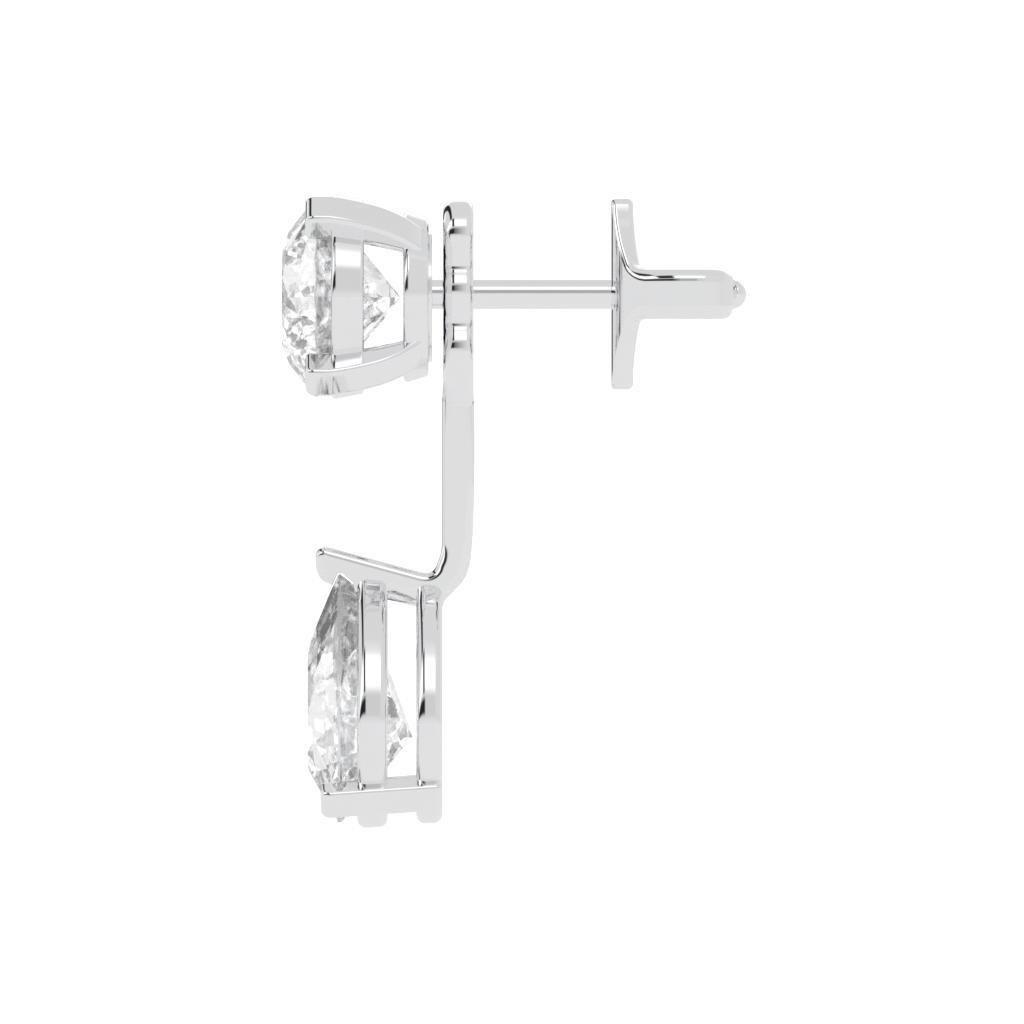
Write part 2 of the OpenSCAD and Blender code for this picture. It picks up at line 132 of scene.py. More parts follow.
class Shell:
    """Vertices, and faces with a normal at each corner, of one or more closed skins."""

    def __init__(self):
        self.points, self.faces, self.normals = [], [], []

    def add(self, points, faces, normals, place):
        """Adds a skin. place turns a skin's own coordinates into the front frame."""
        start = len(self.points)
        turn = place.to_3x3()
        for face, corner in zip(faces, normals):
            a, b, c = (Vector(points[i]) for i in face[:3])
            out = sum((Vector(n) for n in corner), Vector())
            if len(face) < 5 and (b - a).cross(c - b).dot(out) < 0:
                face, corner = face[::-1], corner[::-1]
            self.faces.append([start + i for i in face])
            self.normals.append([(turn @ Vector(n)).normalized() for n in corner])
        self.points += [place @ Vector(p) for p in points]

    def build(self, name):
        """The mesh object, with the front frame in mm turned into the row frame in metres."""
        mesh = bpy.data.meshes.new(name)
        row = [(p.x / 1000, -p.z / 1000, p.y / 1000) for p in self.points]
        mesh.from_pydata(row, [], self.faces)
        mesh.polygons.foreach_set("use_smooth", [True] * len(mesh.polygons))
        mesh.normals_split_custom_set([(n.x, -n.z, n.y) for corner in self.normals for n in corner])
        made = bpy.data.objects.new(name, mesh)
        bpy.context.scene.collection.objects.link(made)
        return made


def angles(degrees):
    """A list of degrees as radians."""
    return [math.radians(k) for k in degrees]


def outline(corners, turn_step=9.0):
    """A closed counter-clockwise line as (x, y, normal x, normal y, inset share). Each corner is
    (x, y, radius, share of the edge rounding); radius 0 is a point on a smooth curve."""
    made = []
    count = len(corners)
    for i, (x, y, radius, *share) in enumerate(corners):
        share = share[0] if share else 1.0
        here = Vector((x, y))
        before = (here - Vector(corners[i - 1][:2])).normalized()
        after = (Vector(corners[(i + 1) % count][:2]) - here).normalized()
        turn = math.atan2(before.x * after.y - before.y * after.x, before.dot(after))
        if radius == 0 or abs(turn) < 1e-4:
            middle = Vector((before.y + after.y, -before.x - after.x)).normalized()
            made.append((x, y, middle.x, middle.y, share / math.cos(turn / 2)))
            continue
        side = math.copysign(1, turn)
        start = math.atan2(-before.x, before.y)
        centre = here - before * radius * math.tan(abs(turn) / 2)
        centre -= Vector((math.cos(start), math.sin(start))) * radius * side
        steps = max(2, math.ceil(abs(math.degrees(turn)) / turn_step))
        for k in range(steps + 1):
            a = start + turn * k / steps
            nx, ny = math.cos(a), math.sin(a)
            made.append((centre.x + nx * radius * side, centre.y + ny * radius * side, nx, ny, share))
    return made


def circle(radius, count=96, x=0.0, y=0.0):
    """A circle as an outline."""
    turns = [2 * math.pi * k / count for k in range(count)]
    return [(x + radius * math.cos(t), y + radius * math.sin(t), math.cos(t), math.sin(t), 1.0)
            for t in turns]


def edges(low, high, low_r, high_r, crown=0.0, steps=10):
    """Rings from the lower face to the upper one, as (inset, level, outward share, upward share). The
    side between the rounded edges is flat, and shaded as if it leaned by crown degrees at each end."""
    quarter = [math.pi / 2 * k / steps for k in range(steps + 1)]
    lean = [math.radians(crown) + a * (1 - crown / 90) for a in quarter]
    below = [(low_r * (1 - math.cos(a)), low + low_r * (1 - math.sin(a)), math.cos(b), -math.sin(b))
             for a, b in zip(quarter[::-1], lean[::-1])]
    above = [(high_r * (1 - math.cos(a)), high - high_r * (1 - math.sin(a)), math.cos(b), math.sin(b))
             for a, b in zip(quarter, lean)]
    return below + above


def block(line, rings, holes=()):
    """A solid between two flat faces: line is its outline, rings its side, holes more outlines."""
    points, faces, normals, caps = [], [], [], ([], [])
    for index, loop in enumerate([line, *holes]):
        inward = index > 0
        side = [(0.0, rings[0][1], 1.0, 0.0), (0.0, rings[-1][1], 1.0, 0.0)] if inward else rings
        sign = -1 if inward else 1
        start, count = len(points), len(loop)
        for inset, level, _, _ in side:
            points += [(x - nx * m * inset, y - ny * m * inset, level) for x, y, nx, ny, m in loop]
        for j in range(len(side) - 1):
            for i in range(count):
                k = (i + 1) % count
                quad = [(j, i), (j, k), (j + 1, k), (j + 1, i)]
                quad = quad[::-1] if inward else quad
                faces.append([start + a * count + b for a, b in quad])
                normals.append([(sign * loop[b][2] * side[a][2], sign * loop[b][3] * side[a][2],
                                 side[a][3]) for a, b in quad])
        caps[0].append([start + i for i in range(count)])
        caps[1].append([start + (len(side) - 1) * count + i for i in range(count)])
    for loops, up in ((caps[0], -1.0), (caps[1], 1.0)):
        flat = [i for loop in loops for i in loop]
        if len(loops) == 1:
            pieces = [flat if up > 0 else flat[::-1]]
        else:
            pieces = []
            for tri in tessellate_polygon([[Vector(points[i]) for i in loop] for loop in loops]):
                a, b, c = (Vector(points[flat[i]]) for i in tri)
                wrong = (b - a).cross(c - a).z * up < 0
                pieces.append([flat[i] for i in (tri[::-1] if wrong else tri)])
        faces += pieces
        normals += [[(0.0, 0.0, up)] * len(piece) for piece in pieces]
    return points, faces, normals


def band(line, section):
    """A closed ring: section, an outline of (outwards, up), carried along line."""
    points, faces, normals = [], [], []
    count, size = len(line), len(section)
    for x, y, nx, ny, m in line:
        points += [(x + nx * m * o, y + ny * m * o, h) for o, h, _, _, _ in section]
    for i in range(count):
        for j in range(size):
            ahead, above = (i + 1) % count, (j + 1) % size
            quad = [(i, j), (ahead, j), (ahead, above), (i, above)]
            faces.append([a * size + b for a, b in quad])
            normals.append([(line[a][2] * section[b][2], line[a][3] * section[b][2], section[b][3])
                            for a, b in quad])
    return points, faces, normals


def ring_of(name, one, count, first, height):
    """Copies a prong round an axis along the post, height mm above it, by Geometry Nodes."""
    tree = bpy.data.node_groups.new("prong_ring", "GeometryNodeTree")
    tree.interface.new_socket("Geometry", in_out="INPUT", socket_type="NodeSocketGeometry")
    values = {"Count": ("NodeSocketInt", count),
              "First Angle": ("NodeSocketFloat", math.radians(first)),
              "Step": ("NodeSocketFloat", math.radians(90)),
              "Axis Height": ("NodeSocketFloat", height / 1000),
              "Material": ("NodeSocketMaterial", white_gold)}
    keys = {label: tree.interface.new_socket(label, in_out="INPUT", socket_type=kind).identifier
            for label, (kind, _) in values.items()}
    tree.interface.new_socket("Geometry", in_out="OUTPUT", socket_type="NodeSocketGeometry")
    nodes, links = tree.nodes, tree.links
    start, end = nodes.new("NodeGroupInput"), nodes.new("NodeGroupOutput")
    points, copies = nodes.new("GeometryNodePoints"), nodes.new("GeometryNodeInstanceOnPoints")
    centre, turn = nodes.new("ShaderNodeCombineXYZ"), nodes.new("ShaderNodeCombineXYZ")
    index = nodes.new("GeometryNodeInputIndex")
    angle, back = nodes.new("ShaderNodeMath"), nodes.new("ShaderNodeMath")
    real, paint = nodes.new("GeometryNodeRealizeInstances"), nodes.new("GeometryNodeSetMaterial")
    angle.operation, back.operation = "MULTIPLY_ADD", "MULTIPLY"
    back.inputs[1].default_value = -1.0
    links.new(start.outputs["Axis Height"], centre.inputs["Z"])
    links.new(centre.outputs["Vector"], points.inputs["Position"])
    links.new(start.outputs["Count"], points.inputs["Count"])
    links.new(index.outputs["Index"], angle.inputs[0])
    links.new(start.outputs["Step"], angle.inputs[1])
    links.new(start.outputs["First Angle"], angle.inputs[2])
    links.new(angle.outputs["Value"], back.inputs[0])
    links.new(back.outputs["Value"], turn.inputs["Y"])
    links.new(points.outputs["Points"], copies.inputs["Points"])
    links.new(start.outputs["Geometry"], copies.inputs["Instance"])
    links.new(turn.outputs["Vector"], copies.inputs["Rotation"])
    links.new(copies.outputs["Instances"], real.inputs["Geometry"])
    links.new(real.outputs["Geometry"], paint.inputs["Geometry"])
    links.new(start.outputs["Material"], paint.inputs["Material"])
    links.new(paint.outputs["Geometry"], end.inputs["Geometry"])
    shell = Shell()
    # The prong is made as (outwards, to the front, along its width), and lies to the side until turned
    shell.add(*one, Matrix(((1, 0, 0, 0), (0, 0, -1, 0), (0, 1, 0, 0), (0, 0, 0, 1))))
    made = shell.build(name)
    ring = made.modifiers.new("prong_ring", "NODES")
    ring.node_group = tree
    for label, (_, value) in values.items():
        ring[keys[label]] = value
    ready = made.evaluated_get(bpy.context.evaluated_depsgraph_get())
    made.data = bpy.data.meshes.new_from_object(ready)
    made.modifiers.remove(ring)
    return made


# The prong in side view, as (outwards from the head's axis, to the front, corner radius, share of the
# edge rounding): its front end, its inner line beside the stone, its foot in the disc, and its outer
# line, which follows a circle up to curve_top, a little fuller there, and then runs straight
head_y = -0.07
half_prong, prong_round = 0.53, 0.17
prong_foot, prong_length, prong_reach = 3.41, 3.75, 3.82
curve_x, curve_top, curve_r = -0.10, 6.44, 3.8
prong_line = [(prong_reach, prong_foot + prong_length, 0.27), (2.86, prong_foot + prong_length, 0.2),
              (2.84, curve_top, 0, 1.2), (2.76, 5.9, 0, 1.6), (2.64, 5.4, 0, 1.7), (2.51, 4.9, 0, 1.7),
              (2.34, 4.35, 0, 1.6), (2.08, 3.85, 0, 1.2), (1.7, prong_foot, 0.14, 0.8),
              (2.193, prong_foot, 0.14, 0.8)]
for a in angles(range(50, 0, -2)):
    fuller = 0.12 * max(0, 1 - 3.2 * math.sin(a)) ** 1.5
    prong_line.append((curve_x + curve_r * math.cos(a) + fuller, curve_top - curve_r * math.sin(a), 0))
prong_line.append((prong_reach, curve_top, 0))
prong_side = edges(-half_prong, half_prong, prong_round, prong_round)
one_prong = block(outline(prong_line, turn_step=6), prong_side)
stud_prongs = ring_of("stud_prongs", one_prong, count=4, first=45, height=head_y)
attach(stud_prongs, "stud")
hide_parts("stud_setting")

# Two cone-shaped rails, as (back, front, outer radius at the back, outer radius at the front). Their
# sections hold the distance from the axis, so the circle they are carried round is nearly a point.
stud = Shell()
head_place = Matrix.Translation((0, head_y, 0))
rail_deep, point_r = 0.55, 0.0001
for low, high, low_r, high_r in ((3.44, 4.21, 2.40, 2.65), (5.40, 6.39, 2.94, 3.14)):
    section = outline([(low_r - rail_deep, low, 0.1), (low_r, low, 0.12), (high_r, high, 0.15),
                       (high_r - rail_deep, high, 0.1)])
    stud.add(*band(circle(point_r, 192), section), head_place)

# The thin disc behind the head, which the prongs, the back rail and the post are soldered to
disc_r, disc_back, disc_front = 1.98, 3.33, 3.75
disc_side = edges(disc_back, disc_front, low_r=0.03, high_r=0.03, crown=3)
stud.add(*block(circle(disc_r, 128), disc_side), head_place)

# The post, from its round tip over the friction groove to the disc, as a block's rings
post_r, post_tip, tip_r = 0.455, -6.17, 0.4549
post_rings = [(tip_r * (1 - math.sin(a)), post_tip + tip_r * (1 - math.cos(a)), math.sin(a), -math.cos(a))
              for a in angles(range(2, 64, 6))]
post_rings += [(0.03, -5.93, 0.95, -0.3), (0.045, -5.89, 1.0, 0.0), (0.03, -5.85, 0.95, 0.3),
               (0.0, -5.80, 0.97, 0.2), (0.0, -5.76, 1.0, 0.0), (0.0, 3.5, 1.0, 0.0)]
stud.add(*block(circle(post_r, 64), post_rings), Matrix.Identity(4))
stud_metal = stud.build("stud_rails_and_post")
stud_metal.data.materials.append(white_gold)
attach(stud_metal, "stud")
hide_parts("stud_setting")


# Round stone: a 6 mm brilliant
# Colourless diamond, cut to flat facets and polished, with a bruted girdle that stays slightly frosted.
# The prongs hold it. The CAD node has the real stone's facets, so it is shown as it is.
def cut_diamond_group():
    """Frost on the girdle, whose faces stand square to the stone's front, and below it a mosaic of
    slightly tilted cells that break up what the few facets show. Painted glints: some of the cells glow
    brightly and the others faintly."""
    group, ends_in, ends_out = shader_group(
        "cut_diamond",
        [("Girdle Frost", "NodeSocketFloat", 0.9), ("Grain Size", "NodeSocketFloat", 9000.0),
         ("Polish", "NodeSocketFloat", 0.0), ("Ripple", "NodeSocketFloat", 0.12),
         ("Flash Size", "NodeSocketFloat", 1000.0), ("Flash Tilt", "NodeSocketFloat", 0.05),
         ("Spark Size", "NodeSocketFloat", 3200.0), ("Spark Tilt", "NodeSocketFloat", 0.015),
         ("Painted Glint Share", "NodeSocketFloat", 0.12), ("Least Painted Glint", "NodeSocketFloat", 0.16)],
        [("Roughness", "NodeSocketFloat"), ("Normal", "NodeSocketVector"), ("Painted Glints", "NodeSocketColor")])
    nodes, links = group.nodes, group.links
    shape = nodes.new("ShaderNodeNewGeometry")
    parts = nodes.new("ShaderNodeSeparateXYZ")
    size = nodes.new("ShaderNodeMath")
    size.operation = "ABSOLUTE"
    # The girdle is where a facet has next to no part of its normal to the front
    rim = nodes.new("ShaderNodeMapRange")
    rim.inputs["From Min"].default_value = 0.02
    rim.inputs["From Max"].default_value = 0.08
    rim.inputs["To Min"].default_value = 1.0
    rim.inputs["To Max"].default_value = 0.0
    place = nodes.new("ShaderNodeTexCoord")
    grain = nodes.new("ShaderNodeTexNoise")
    frost = nodes.new("ShaderNodeMath")
    frost.operation = "MULTIPLY"
    masked = nodes.new("ShaderNodeMath")
    masked.operation = "MULTIPLY_ADD"
    bump = nodes.new("ShaderNodeBump")
    bump.inputs["Distance"].default_value = 0.000004
    ripple = nodes.new("ShaderNodeMath")
    ripple.operation = "MAXIMUM"
    # The crown, the first third of the stone's depth, has only a little of the mosaic
    depth = nodes.new("ShaderNodeSeparateXYZ")
    below = nodes.new("ShaderNodeMapRange")
    below.inputs["From Min"].default_value = 0.30
    below.inputs["From Max"].default_value = 0.36
    below.inputs["To Min"].default_value = 0.2
    links.new(place.outputs["Generated"], depth.inputs["Vector"])
    links.new(depth.outputs["Y"], below.inputs["Value"])
    facing = shape.outputs["True Normal"]
    for cells, tilt in (("Flash Size", "Flash Tilt"), ("Spark Size", "Spark Tilt")):
        mosaic = nodes.new("ShaderNodeTexVoronoi")
        middle = nodes.new("ShaderNodeVectorMath")
        middle.operation = "SUBTRACT"
        middle.inputs[1].default_value = (0.5, 0.5, 0.5)
        lean = nodes.new("ShaderNodeVectorMath")
        lean.operation = "SCALE"
        turned = nodes.new("ShaderNodeVectorMath")
        much = nodes.new("ShaderNodeMath")
        much.operation = "MULTIPLY"
        links.new(place.outputs["Object"], mosaic.inputs["Vector"])
        links.new(ends_in.outputs[cells], mosaic.inputs["Scale"])
        links.new(mosaic.outputs["Color"], middle.inputs[0])
        links.new(middle.outputs["Vector"], lean.inputs[0])
        links.new(ends_in.outputs[tilt], much.inputs[0])
        links.new(below.outputs["Result"], much.inputs[1])
        links.new(much.outputs["Value"], lean.inputs["Scale"])
        links.new(facing, turned.inputs[0])
        links.new(lean.outputs["Vector"], turned.inputs[1])
        facing = turned.outputs["Vector"]
    # The small cells' own colours choose the ones that glow as painted glints; the others glow faintly
    shares = nodes.new("ShaderNodeSeparateXYZ")
    lit = nodes.new("ShaderNodeMath")
    lit.operation = "LESS_THAN"
    painted_glints = nodes.new("ShaderNodeMath")
    painted_glints.operation = "MAXIMUM"
    even = nodes.new("ShaderNodeVectorMath")
    even.operation = "NORMALIZE"
    links.new(mosaic.outputs["Color"], shares.inputs["Vector"])
    links.new(shares.outputs["X"], lit.inputs[0])
    links.new(ends_in.outputs["Painted Glint Share"], lit.inputs[1])
    links.new(lit.outputs["Value"], painted_glints.inputs[0])
    links.new(ends_in.outputs["Least Painted Glint"], painted_glints.inputs[1])
    links.new(facing, even.inputs[0])
    links.new(even.outputs["Vector"], bump.inputs["Normal"])
    links.new(shape.outputs["True Normal"], parts.inputs["Vector"])
    links.new(parts.outputs["Y"], size.inputs[0])
    links.new(size.outputs["Value"], rim.inputs["Value"])
    links.new(place.outputs["Object"], grain.inputs["Vector"])
    links.new(ends_in.outputs["Grain Size"], grain.inputs["Scale"])
    links.new(grain.outputs["Fac"], frost.inputs[0])
    links.new(ends_in.outputs["Girdle Frost"], frost.inputs[1])
    links.new(frost.outputs["Value"], masked.inputs[0])
    links.new(rim.outputs["Result"], masked.inputs[1])
    links.new(ends_in.outputs["Polish"], masked.inputs[2])
    links.new(grain.outputs["Fac"], bump.inputs["Height"])
    links.new(rim.outputs["Result"], ripple.inputs[0])
    links.new(ends_in.outputs["Ripple"], ripple.inputs[1])
    links.new(ripple.outputs["Value"], bump.inputs["Strength"])
    links.new(masked.outputs["Value"], ends_out.inputs["Roughness"])
    links.new(bump.outputs["Normal"], ends_out.inputs["Normal"])
    links.new(painted_glints.outputs["Value"], ends_out.inputs["Painted Glints"])
    return group


diamond, diamond_surface = material_from(
    "diamond", cut_diamond_group(),
    [("Roughness", "Roughness"), ("Normal", "Normal"), ("Painted Glints", "Emission Color")])
diamond_surface.inputs["Base Color"].default_value = (0.985, 0.99, 1.0, 1.0)
diamond_surface.inputs["Metallic"].default_value = 0.0
diamond_surface.inputs["Transmission Weight"].default_value = 1.0
diamond_surface.inputs["IOR"].default_value = 2.42
# The stone's emission is painted light: painted glints and a faint glow all over, though it is no lamp
diamond_surface.inputs["Emission Strength"].default_value = 0.2
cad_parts["round_stone"].data.materials.clear()
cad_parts["round_stone"].data.materials.append(diamond)


# Jacket: hanging plate, bar, bent arm and the pear's basket, soldered into one
# Cast white gold. The plate's scallops are rounded over at the front, the bar and arm are softened
# along their edges, two rails follow the pear's outline, and two prongs hold its round end.
jacket = Shell()
plate_back, plate_front = 2.08, 3.02
hole_pitch, hole_r = 1.725, 0.515
scallop_r, hollow_r = 1.13, 0.42
hollow_x = math.sqrt((scallop_r + hollow_r) ** 2 - (hole_pitch / 2) ** 2)
meet = math.degrees(math.atan2(hole_pitch / 2, hollow_x))
# The plate's right edge from below: three scallops round the holes, joined by two small hollows
scallops = []
for k in (-1, 0, 1):
    low = -70 if k == -1 else -meet
    high = 90 if k == 1 else meet
    for i in range(9):
        t = math.radians(low + (high - low) * i / 8)
        scallops.append((scallop_r * math.cos(t), k * hole_pitch + scallop_r * math.sin(t)))
    if k < 1:
        for i in range(1, 8):
            t = math.radians(180 + meet - 2 * meet * i / 8)
            scallops.append((hollow_x + hollow_r * math.cos(t),
                             (k + 0.5) * hole_pitch + hollow_r * math.sin(t)))
# The neck ends inside the bar, and the lowest scallop runs into it
neck_top = -2.65
neck = [(0.5, -3.5), (0.575, -3.46), (0.59, -3.3), (0.605, -3.1), (0.63, -2.85)]
right = [(x, y, 0.0) for x, y in neck + [point for point in scallops if point[1] > neck_top]]
left = [(-x, y, radius) for x, y, radius in right[-2::-1]]
holes = [circle(hole_r, 48, y=k * hole_pitch) for k in (-1, 0, 1)]
plate_side = edges(plate_back, plate_front, low_r=0.26, high_r=0.36, crown=3)
jacket.add(*block(outline(right + left), plate_side, holes), Matrix.Identity(4))

# The bar and the arm in side view, as (to the front, up): down the bar's back, under the arm, round the
# notch that clears the stone's tip, back along the arm's top, and up the bar's front from the elbow
half_bar, bar_round = 0.58, 0.29
arm_slope = Vector((1, math.tan(math.radians(15.2))))
arm_end = Vector((6.464, -7.642))
bar_side = [(2.10, -2.6, 0.1, 0.3), (2.06, -3.3, 0), (2.05, -4.2, 0), (2.05, -5.1, 0), (2.07, -6.4, 0),
            (2.11, -7.4, 0), (2.15, -7.9, 0), (2.2, -8.2, 0), (2.29, -8.5, 0), (2.43, -8.73, 0),
            (2.63, -8.94, 0), (2.85, -9.16, 0, 0.8), (2.97, -9.3, 0, 0.6), (3.02, -9.5, 0.1, 0.3),
            (3.75, -9.47, 0, 1.9), (4.72, -9.24, 0, 1.9), (5.4, -9.08, 0, 0.6)]
bar_side += [(5.68, -9.01, 0.04, 0.1), (5.74, -8.70, 0.04, 0.1), (6.07, -8.44, 0.04, 0.1),
             (6.19, -8.44, 0.04, 0.1), (6.36, -8.81, 0.06, 0.15)]
bar_side += [(6.62, -8.69, 0, 0.6), (6.75, -8.55, 0), (6.83, -8.37, 0), (6.86, -8.15, 0),
             (6.855, -7.62, 0.27, 0.85)]
bar_side += [(*(arm_end - back * arm_slope), 0.0) for back in (0.06, 2.75)]
bar_side += [(3.31, -8.47, 0.35, 1.0), (3.05, -7.8, 1.2, 1.05), (3.045, -7.3, 0), (3.045, -4.2, 0),
             (3.04, -3.3, 0), (3.0, -2.6, 0.1, 0.3)]
side_to_front = Matrix(((0, 0, -1, 0), (0, 1, 0, 0), (1, 0, 0, 0), (0, 0, 0, 1)))
bar_edges = edges(-half_bar, half_bar, bar_round, bar_round)
jacket.add(*block(outline(bar_side, turn_step=6), bar_edges), side_to_front)

# The basket: a round end of radius pear_r that runs on above its widest line by the angle shoulder, then
# two arcs of radius arc_r that meet in the tip, reach mm above the round end's centre
drop_y = -12.95
pear_r, reach = 3.03, 4.48
shoulder = math.radians(16.5)
shift = (reach ** 2 - pear_r ** 2) / (2 * (pear_r - reach * math.sin(shoulder)))
arc_r = shift + pear_r
tip_turn = math.asin((reach + shift * math.sin(shoulder)) / arc_r)
pear_line = []
for k in range(57):
    t = math.pi - shoulder + (math.pi + 2 * shoulder) * k / 56
    pear_line.append((pear_r * math.cos(t), pear_r * math.sin(t), math.cos(t), math.sin(t), 1.0))
arc = []
for k in range(1, 22):
    t = shoulder + (tip_turn - shoulder) * k / 22
    arc.append((arc_r * math.cos(t) - shift * math.cos(shoulder),
                arc_r * math.sin(t) - shift * math.sin(shoulder), math.cos(t), math.sin(t), 1.0))
pear_line += arc + [(0.0, reach, 0.0, 1.0, 1 / math.sin(tip_turn))]
pear_line += [(-x, y, -nx, ny, m) for x, y, nx, ny, m in arc[::-1]]
# Its two rails, as (back, front, distance out of that line at the back, distance out at the front)
drop_rail_deep = 0.5
for low, high, low_out, high_out in ((3.03, 3.82, 0.0, 0.07), (4.68, 5.61, 0.13, 0.19)):
    section = outline([(low_out - drop_rail_deep, low, 0.1), (low_out, low, 0.26), (high_out, high, 0.28),
                       (high_out - drop_rail_deep, high, 0.1)])
    jacket.add(*band(pear_line, section), Matrix.Translation((0, drop_y, 0)))
jacket_metal = jacket.build("jacket_metal")
jacket_metal.data.materials.append(white_gold)
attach(jacket_metal, "drop")
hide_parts("jacket")

# The two prongs at the basket's round end, lower left and lower right, straight and leaning outwards
drop_line = [(2.6, 3.05, 0.18), (3.32, 3.05, 0.2), (3.67, 6.70, 0.3), (3.0, 6.70, 0.18)]
one_prong = block(outline(drop_line, turn_step=6), prong_side)
drop_prongs = ring_of("drop_prongs", one_prong, count=2, first=-135, height=drop_y)
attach(drop_prongs, "drop")
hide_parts("jacket")


# Pear stone: a 7.5 by 6 mm pear brilliant
# Colourless diamond like the round stone, held at its tip by the arm and at its round end by two
# prongs. The CAD node has the real stone's facets, so it is shown as it is.
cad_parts["pear_stone"].data.materials.clear()
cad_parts["pear_stone"].data.materials.append(diamond)


# Ear nut: a butterfly back, one strip with two lobes whose wings are rolled against the post
# Stamped from white gold sheet, bent and rolled, and tumbled until every edge is round. It is worked
# out flat, as a length s along the strip's outer face from the middle and a height h, and then bent.
nut_front, nut_half, nut_t = 2.08, 2.75, 0.65
# From the middle the outer face runs flat to bend_x, turns to the back over the radii tight and wide,
# goes on straight, rolls back inwards over the radius roll, and lies beside the post for the length grip
tight, wide = 1.3, 2.9
bend_x = nut_half - wide + (wide - tight) * math.sin(math.pi / 3)
bend_depth = tight + (wide - tight) * math.cos(math.pi / 3)
knee = bend_x + tight * math.pi / 3
turns = knee + wide * math.pi / 6
roll = 1.125
straight = 0.455
grip = 1.55
total = turns + straight + roll * math.pi + grip


def nut_path(s):
    """Where the strip's outer face is after a length s from the middle: x, depth and its normal."""
    if s < bend_x:
        return s, 0.0, 0.0, -1.0
    if s < knee:
        a = (s - bend_x) / tight
        return bend_x + tight * math.sin(a), tight * (1 - math.cos(a)), math.sin(a), -math.cos(a)
    if s < turns:
        a = math.pi / 3 + (s - knee) / wide
        return (nut_half - wide + wide * math.sin(a), bend_depth - wide * math.cos(a),
                math.sin(a), -math.cos(a))
    s -= turns
    if s < straight:
        return nut_half, bend_depth + s, 1.0, 0.0
    s -= straight
    if s < roll * math.pi:
        a = s / roll
        return (nut_half - roll + roll * math.cos(a), bend_depth + straight + roll * math.sin(a),
                math.cos(a), math.sin(a))
    s -= roll * math.pi
    return nut_half - 2 * roll, bend_depth + straight - s, -1.0, 0.0


def along(x):
    """The length from the middle at which the strip's outer face is x to the side."""
    if x < bend_x:
        return x
    if x < bend_x + tight * math.sin(math.pi / 3):
        return bend_x + tight * math.asin((x - bend_x) / tight)
    return knee + wide * (math.asin((x - nut_half + wide) / wide) - math.pi / 3)


# Half of the strip's upper edge: a lobe's flat top and round corner, its leaning side, the small hollow
# at its foot, the wing's straight edge, and the round corner of the wing's end
lobe_h, lobe_x, lobe_r = 2.885, 1.25, 0.3
wing_h, wing_r = 0.745, 0.42
lobe_lean = math.radians(22.5)
foot_r = 0.3
top = Vector((lobe_x + lobe_r * math.cos(lobe_lean), lobe_h - lobe_r + lobe_r * math.sin(lobe_lean)))
root = Vector((top.x + (top.y - wing_h) * math.tan(lobe_lean), wing_h))
foot = foot_r * math.tan(math.pi / 4 - lobe_lean / 2)
side_end = root + foot * Vector((-math.sin(lobe_lean), math.cos(lobe_lean)))
edge = [(x, lobe_h) for x in (0.0, 0.4, 0.8, 1.1, 1.2)]
edge += [(lobe_x + lobe_r * math.sin(a), lobe_h - lobe_r + lobe_r * math.cos(a))
         for a in angles((0, 15, 30, 45, 60, 67.5))]
edge += [tuple(top + (side_end - top) * k / 14) for k in range(1, 15)]
edge += [(root.x + foot + foot_r * math.cos(a), wing_h + foot_r + foot_r * math.sin(a))
         for a in angles((213.75, 225, 236.25, 247.5, 258.75, 270))]
strip = [(along(x), h) for x, h in edge]
strip += [(s, wing_h) for s in (3.1, 3.3, 3.5, 3.7, 3.9, turns, turns + 0.1, turns + straight)]
strip += [(turns + straight + roll * math.pi * k / 30, wing_h) for k in range(1, 31)]
strip += [(total - wing_r + wing_r * math.sin(a), wing_h - wing_r + wing_r * math.cos(a))
          for a in angles((0, 30, 60, 88))]

# The whole upper edge, from wing end to wing end, as (s, h, and the edge's normal in the flat strip)
outward = []
for i, (s, h) in enumerate(strip):
    before = strip[i - 1] if i else (-strip[1][0], strip[1][1])
    after = strip[i + 1] if i < len(strip) - 1 else (s, -h)
    d = Vector((after[0] - before[0], after[1] - before[1])).normalized()
    outward.append((-d.y, d.x))
full = [(-s, h, -n[0], n[1]) for (s, h), n in zip(strip[:0:-1], outward[:0:-1])]
full += [(s, h, n[0], n[1]) for (s, h), n in zip(strip, outward)]
count = len(full)

# Rings round the strip's edge: over the outer face's rounding, then over the inner face's
rings = [(outside, a) for outside in (True, False) for a in angles(range(0, 91, 10))]

# How far the edge's rounding goes in from the edge and down from the outer face, what both gain on the
# wings, how far it goes in and up from the inner face, and how much thinner the wings are
outer_in, outer_down, wing_in, wing_down = 0.13, 0.13, 0.26, 0.12
inner_in, inner_up, wing_thinner = 0.14, 0.16, 0.2


def grown(s, start, end):
    """0 up to start, 1 from end, smooth between."""
    t = min(1.0, max(0.0, (abs(s) - start) / (end - start)))
    return t * t * (3 - 2 * t)


def ring_at(j, s):
    """Inset from the edge and depth under the outer face of ring j, after a length s."""
    outside, a = rings[j]
    if outside:
        big = grown(s, 2.1, 3.0)
        return ((outer_in + wing_in * big) * (1 - math.sin(a)),
                (outer_down + wing_down * big) * (1 - math.cos(a)))
    return (inner_in * (1 - math.cos(a)),
            nut_t - wing_thinner * grown(s, 2.5, 3.3) - inner_up * (1 - math.sin(a)))


def nut_point(s, h, w):
    """A point at a depth w mm under the strip's outer face."""
    x, depth, nx, nd = nut_path(abs(s))
    return (math.copysign(1, s) * (x - nx * w), h, -nut_front - (depth - nd * w))


def nut_normal(s, a, b, c):
    """Along the strip, up, and out of its inner face, as a direction in the front frame."""
    _, _, nx, nd = nut_path(abs(s))
    sign = math.copysign(1, s)
    along_strip = Vector((-nd * sign, 0, -nx)) * a * sign
    inner = Vector((-nx * sign, 0, nd)) * c
    return along_strip + Vector((0, b, 0)) + inner


def corner(j, side, i):
    """Point index and normal of ring j, upper or lower side, column i."""
    s, _, ns, nh = full[i]
    outside, a = rings[j]
    out, inner = (math.sin(a), -math.cos(a)) if outside else (math.cos(a), math.sin(a))
    return (2 * j + side) * count + i, nut_normal(s, ns * out, (1 - 2 * side) * nh * out, inner)


